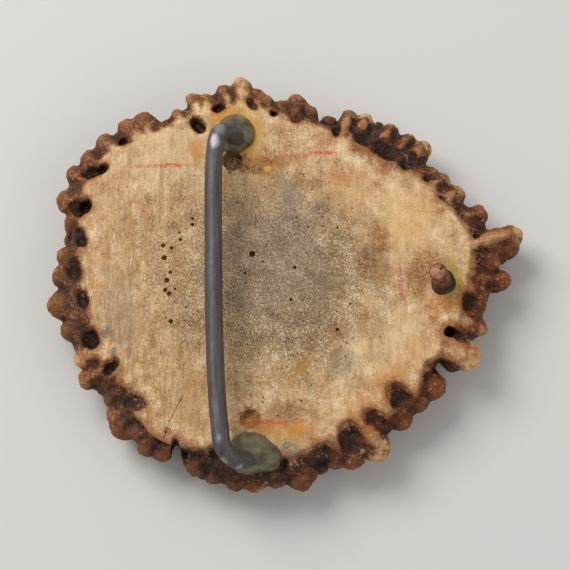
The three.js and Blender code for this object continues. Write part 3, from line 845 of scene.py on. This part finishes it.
# Sawn antler: cream compact bone round a grey-brown spongy core, brown pearled bark outside
def makeBone(piece):
    tree, surface, place = newMaterial("elkAntler", piece)
    edgeRun, hollow, paleTip, wornTip, sootAndShade = [
        addNode(tree, "Attribute", attribute_name=name)["Fac"]
        for name in ("edgeRun", "hollow", "paleTip", "wornTip", "sootAndShade")]
    noise = {}
    for name, size, detail, rough in bone["noises"]:
        noise[name] = addNode(tree, "TexNoise", {"Vector": place, "Scale": 1 / size, "Detail": detail,
                                                 "Roughness": rough})["Fac"]
    for name, width, length, turn in bone["streaks"]:
        course = addNode(tree, "Mapping", {"Vector": place, "Rotation": (0, 0, math.radians(turn)),
                                           "Scale": (1 / width, 1 / length, 1 / length)})[0]
        noise[name] = addNode(tree, "TexNoise", {"Vector": course, "Scale": 1, "Detail": 4, "Roughness": 0.66,
                                                 "Distortion": 0.4})["Fac"]
    pushed = {}
    for name, size, push in bone["wobbles"]:
        wobble = addNode(tree, "TexNoise", {"Vector": place, "Scale": 1 / size, "Detail": 3})["Color"]
        centred = addNode(tree, "VectorMath", {0: wobble, 1: (0.5, 0.5, 0.5)}, operation="SUBTRACT")[0]
        pushed[name] = addNode(tree, "VectorMath", {0: centred, 1: (push, push, 0), 2: place},
                               operation="MULTIPLY_ADD")[0]

    # cream ring: clouds, fibres and fine grain, with broad tan smears
    weave = blendOf(tree, (noise["mottle"], 0.45), (noise["fibre"], 0.15), (noise["sponge"], 0.2),
                    (noise["grain"], 0.2))
    face = addNode(tree, "ValToRGB", {"Fac": weave}, [
        (0.42, "93693f"), (0.465, "bd9361"), (0.5, "cfa675"), (0.535, "dcb88b"), (0.58, "f0d9b2")])[0]
    face = layColour(tree, face, noise["patch"], 0.45, 0.7, 0.45, "c79c69")
    for x, y, halfX, halfY, turn, share in bone["palePatches"]:
        away = ovalRun(tree, pushed["broad"], x, y, halfX, halfY, turn)
        face = layColour(tree, face, away, 1.2, 0.3, share, "e8ca9a")
    face = layColour(tree, face, noise["smear"], 0.52, 0.66, 0.5, "b3855a")
    face = layColour(tree, face, noise["smear"], 0.47, 0.34, 0.4, "e8cda2")
    # saw streaks, stronger on the left
    leftSide = addNode(tree, "MapRange", {"Value": ovalRun(tree, place, -25, -2, 15, 28, 0), "From Min": 1.2,
                                          "From Max": 0.4, "To Min": 0.2, "To Max": 0.7})[0]
    face = layColour(tree, face, noise["saw"], 0.48, 0.64, 1, "957250", leftSide)
    face = layColour(tree, face, noise["speck"], 0.55, 0.68, 0.4, "96714b")
    # half-spongy band left of the wire
    crumbs = blendOf(tree, (noise["mottle"], 0.25), (noise["sponge"], 0.45), (noise["grain"], 0.3))
    bandTone = addNode(tree, "ValToRGB", {"Fac": crumbs}, [
        (0.41, "563d27"), (0.46, "997550"), (0.52, "ba966d"), (0.58, "dfc194")])[0]
    away = ovalRun(tree, pushed["broad"], -18.5, 3, 10, 19, 0)
    face = layColour(tree, face, away, 1.2, 0.4, 0.7, bandTone)

    # spongy core, salt and pepper, greyer on its left
    coreTone = addNode(tree, "ValToRGB", {"Fac": crumbs}, [
        (0.41, "412e1c"), (0.46, "775c41"), (0.5, "957957"), (0.54, "b0946f"), (0.6, "ead9ba")])[0]
    coreTone = layColour(tree, coreTone, noise["grit"], 0.5, 0.72, 0.35, "6f5a44")
    away = ovalRun(tree, pushed["broad"], -3, 6, 14, 17, 0)
    coreTone = layColour(tree, coreTone, away, 1.15, 0.4, 0.4, "83746a")
    core = ovalRun(tree, pushed["broad"], -0.5, 1, 20, 23, -15)
    face = layColour(tree, face, core, 1.2, 0.4, 0.92, coreTone)
    # tiny open pores about the core, some 1.3 mm apart, painted as dark dots: painted shade inside the pores
    dots = addNode(tree, "TexVoronoi", {"Vector": place, "Scale": 0.75})["Distance"]
    about = addNode(tree, "MapRange", {"Value": core, "From Min": 1.45, "From Max": 0.9})[0]
    sparse = addNode(tree, "MapRange", {"Value": noise["patch"], "From Min": 0.4, "From Max": 0.55,
                                        "To Min": 0.15})[0]
    about = addNode(tree, "Math", {0: about, 1: sparse}, operation="MULTIPLY")[0]
    face = layColour(tree, face, dots, 0.17, 0.09, 0.85, "3b2c20", about)

    # stains, broken up by the grain
    grain = blendOf(tree, (noise["grain"], 0.5), (noise["speck"], 0.5))
    grain = addNode(tree, "MapRange", {"Value": grain, "From Min": 0.42, "From Max": 0.58})[0]
    for x, y, halfX, halfY, turn, colour, strength, grainy, soft in bone["stains"]:
        ragged = pushed["near" if min(halfX, halfY) > 0.7 else "fine"]
        away = ovalRun(tree, ragged, x, y, halfX, halfY, turn)
        speckle = addNode(tree, "Math", {0: grain, 1: grainy * 1.15, 2: 1 - grainy},
                          operation="MULTIPLY_ADD")[0]
        face = layColour(tree, face, away, 1.1, 1.1 - soft, strength, colour, speckle)

    # bark of the burr: dark in the hollows, partly dirt and partly painted shade, paler on the ridges, partly
    # wear and partly painted highlight, and redder on the right
    rustSide = addNode(tree, "MapRange", {"Value": edgeRun, "From Min": -1.2, "From Max": 0.6})[0]
    # the hollow value paints shade into the hollows and a pale highlight onto the ridges; the value of each
    # hollow adds dirt and painted shade inside it
    dirtAndShade = blendOf(tree, (hollow, 1.0), (sootAndShade, 0.5), (noise["mottle"], 3.0), (noise["speck"], 4.2),
                   (rustSide, -0.5))
    level = addNode(tree, "MapRange", {"Value": dirtAndShade, "From Min": 2.18, "From Max": 4.52})[0]
    bark = addNode(tree, "ValToRGB", {"Fac": level}, [
        (0.0, "b18457"), (0.16, "935d35"), (0.32, "744323"), (0.48, "57311a"), (0.66, "3b2214"),
        (0.92, "20140e")])[0]
    red = addNode(tree, "Mix", {"Factor": 1.0, 6: bark, 7: tone("ffe2be")}, data_type="RGBA",
                  blend_type="MULTIPLY")[2]
    for x, y, halfX, halfY, share in bone["redSides"]:
        away = ovalRun(tree, pushed["near"], x, y, halfX, halfY, 0)
        bark = layColour(tree, bark, away, 1.2, 0.5, share, red)
    bark = layColour(tree, bark, noise["speck"], 0.56, 0.7, 0.3, "a07a54")
    tips = blendOf(tree, (wornTip, 1.0), (noise["mottle"], 2.5), (noise["speck"], 1.5))
    bark = layColour(tree, bark, tips, 2.45, 3.3, 0.42, "9d6339")
    worn = blendOf(tree, (paleTip, 1.0), (noise["mottle"], 3.5), (noise["speck"], 1.0))
    bark = layColour(tree, bark, worn, 2.55, 3.2, 0.95, "d3a774")

    # the cream runs out over the ridges, the brown bites in along the hollows with a rusty border
    border = blendOf(tree, (edgeRun, 1.0), (noise["mottle"], 3.0), (noise["speck"], 3.4))
    face = layColour(tree, face, border, 5.1, 3.7, 0.8, "94592f")
    join(tree, layColour(tree, face, border, 3.8, 3.1, 1.0, bark), surface["Base Color"])

    surface["Roughness"].default_value = bone["roughness"]
    surface["Specular IOR Level"].default_value = bone["specular"]
    height = blendOf(tree, (noise["speck"], 1.0), (noise["grit"], 0.6))
    bump = addNode(tree, "Bump", {"Strength": 0.5, "Distance": 0.16 * mm, "Height": height})[0]
    join(tree, bump, surface["Normal"])


makeBone(slicePiece)


steel = {
    "colours": [(0.33, "3a3636"), (0.47, "5d595a"), (0.56, "676363"), (0.68, "8d898a")],
    "blotch": "56514f", "scuffAndHighlight": "b9b3b2", "metallic": 0.55, "roughness": (0.48, 0.66),
    "lineScale": 2.6,  # lines about 0.4 mm apart, coarser than real ones, so that they show
    "blotchScale": 0.9,  # blotches about 1.1 mm across
}


# Cold-drawn steel: dark grey with lines along the wire, scuffed bright on the bends, partly painted highlight
def makeSteel(piece):
    tree, surface, place = newMaterial("drawnSteel", piece)
    parts = [addNode(tree, "Attribute", attribute_name=name)["Fac"] for name in ("roundX", "roundY", "along")]
    course = addNode(tree, "CombineXYZ", dict(enumerate(parts)))[0]
    drawn = addNode(tree, "Mapping", {"Vector": course, "Scale": (1, 1, 0.05)})[0]
    lines = addNode(tree, "TexNoise", {"Vector": drawn, "Scale": steel["lineScale"], "Detail": 4,
                                       "Roughness": 0.65})["Fac"]
    blotch = addNode(tree, "TexNoise", {"Vector": place, "Scale": steel["blotchScale"], "Detail": 4})["Fac"]
    colour = addNode(tree, "ValToRGB", {"Fac": lines}, steel["colours"])[0]
    colour = addNode(tree, "Mix", {"Factor": blotch, 6: colour, 7: tone(steel["blotch"])},
                     data_type="RGBA")[2]
    # pale patches on the bends: scuffs, partly painted highlights
    for x, y, z, half, shine in loop["scuffsAndHighlights"]:
        local = addNode(tree, "Mapping", {"Vector": place, "Location": (x, y, z),
                                          "Scale": (half, half * 1.5, half)}, vector_type="TEXTURE")[0]
        away = addNode(tree, "VectorMath", {0: local}, operation="LENGTH")["Value"]
        ragged = addNode(tree, "Math", {0: away, 1: lines}, operation="ADD")[0]
        share = addNode(tree, "MapRange", {"Value": ragged, "From Min": 1.45, "From Max": 0.95,
                                           "To Max": shine})[0]
        colour = addNode(tree, "Mix", {"Factor": share, 6: colour, 7: tone(steel["scuffAndHighlight"])},
                         data_type="RGBA")[2]
    join(tree, colour, surface["Base Color"])
    surface["Metallic"].default_value = steel["metallic"]
    least, most = steel["roughness"]
    rough = addNode(tree, "MapRange", {"Value": blotch, "To Min": least, "To Max": most})[0]
    join(tree, rough, surface["Roughness"])
    bump = addNode(tree, "Bump", {"Strength": 0.25, "Distance": 0.05 * mm, "Height": lines})[0]
    join(tree, bump, surface["Normal"])


makeSteel(loopPiece)


copper = {
    "colours": [(0.3, "5f3f2d"), (0.55, "85593f"), (0.75, "a06f52")],
    "blotchScale": 1.1,  # blotches about 0.9 mm across
    "metallic": 0.55, "roughness": 0.5,
}


# Drawn copper rod, dulled: brown blotches and no sharp reflections
def makeCopper(piece):
    tree, surface, place = newMaterial("wornCopper", piece)
    blotch = addNode(tree, "TexNoise", {"Vector": place, "Scale": copper["blotchScale"], "Detail": 3})["Fac"]
    colour = addNode(tree, "ValToRGB", {"Fac": blotch}, copper["colours"])[0]
    join(tree, colour, surface["Base Color"])
    surface["Metallic"].default_value = copper["metallic"]
    surface["Roughness"].default_value = copper["roughness"]


makeCopper(prongPiece)


# Two-part epoxy: cloudy greenish grey, or dark olive round the prong where the dark is partly painted shade,
# with a dull gloss
def makeEpoxy(piece, name, glue):
    tree, surface, place = newMaterial(name, piece)
    cloud = addNode(tree, "TexNoise", {"Vector": place, "Scale": epoxy["cloudScale"], "Detail": 3})["Fac"]
    stops = [(0.3 + 0.2 * index, code) for index, code in enumerate(glue["colours"])]
    join(tree, addNode(tree, "ValToRGB", {"Fac": cloud}, stops)[0], surface["Base Color"])
    surface["Roughness"].default_value = epoxy["roughness"]
    surface["Specular IOR Level"].default_value = epoxy["specular"]
    surface["Subsurface Weight"].default_value = epoxy["subsurface"]
    surface["Subsurface Radius"].default_value = (0.6 * mm, 0.6 * mm, 0.3 * mm)
    surface["Subsurface Scale"].default_value = 1.0


makeEpoxy(topGluePiece, "epoxyTop", topGlue)
makeEpoxy(bottomGluePiece, "epoxyBottom", bottomGlue)
makeEpoxy(collarPiece, "darkEpoxyAndShade", collar)
print("materials laid")

for piece, cadNode, slotName in (
        (slicePiece, "antler_slice", "antler_bone"), (loopPiece, "belt_loop", "steel_wire"),
        (prongPiece, "prong", "copper_rod"), (topGluePiece, "loop_glue_top", "epoxy"),
        (bottomGluePiece, "loop_glue_bottom", "epoxy"), (collarPiece, "prong_glue", "dark_epoxy")):
    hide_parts(cadNode)
    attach(piece, "root")

# Pale table, soft light from the upper left, camera above the back
clearSelection()
bpy.ops.mesh.primitive_plane_add(size=4, location=(0, 0, 0))
floor = bpy.context.object
floor.name = "floor"
tree, surface, _ = newMaterial("paleTable", floor)
surface["Base Color"].default_value = tone("d8d5d0")
surface["Roughness"].default_value = 0.9

view = {"tilt": 12.0, "distance": 450.0, "lens": 156.3}
tilt = math.radians(view["tilt"])
cameraData = bpy.data.cameras.new("camera")
cameraData.lens = view["lens"]
camera = bpy.data.objects.new("camera", cameraData)
away = Vector((0, -math.sin(tilt), math.cos(tilt))) * view["distance"]
camera.location = (away + Vector((0, 0, faceHeight))) * mm
camera.rotation_euler = (tilt, 0, 0)
bpy.context.scene.collection.objects.link(camera)
bpy.context.scene.camera = camera

# place, size in metres, watts
lamps = {"key": ((-0.38, 0.36, 0.6), 0.45, 4.6), "fill": ((0.55, -0.3, 0.5), 0.7, 1.0)}
for name, (spot, size, watts) in lamps.items():
    lightData = bpy.data.lights.new(name, "AREA")
    lightData.size = size
    lightData.energy = watts
    lamp = bpy.data.objects.new(name, lightData)
    lamp.location = spot
    lamp.rotation_euler = (-Vector(spot)).to_track_quat("-Z", "Y").to_euler()
    bpy.context.scene.collection.objects.link(lamp)
room = {"colour": "f2f4f6", "strength": 0.45}
world = bpy.data.worlds.new("room")
world.use_nodes = True
background = world.node_tree.nodes["Background"].inputs
background["Color"].default_value = tone(room["colour"])
background["Strength"].default_value = room["strength"]
bpy.context.scene.world = world
bpy.context.scene.view_settings.view_transform = "Standard"
print("stage set")
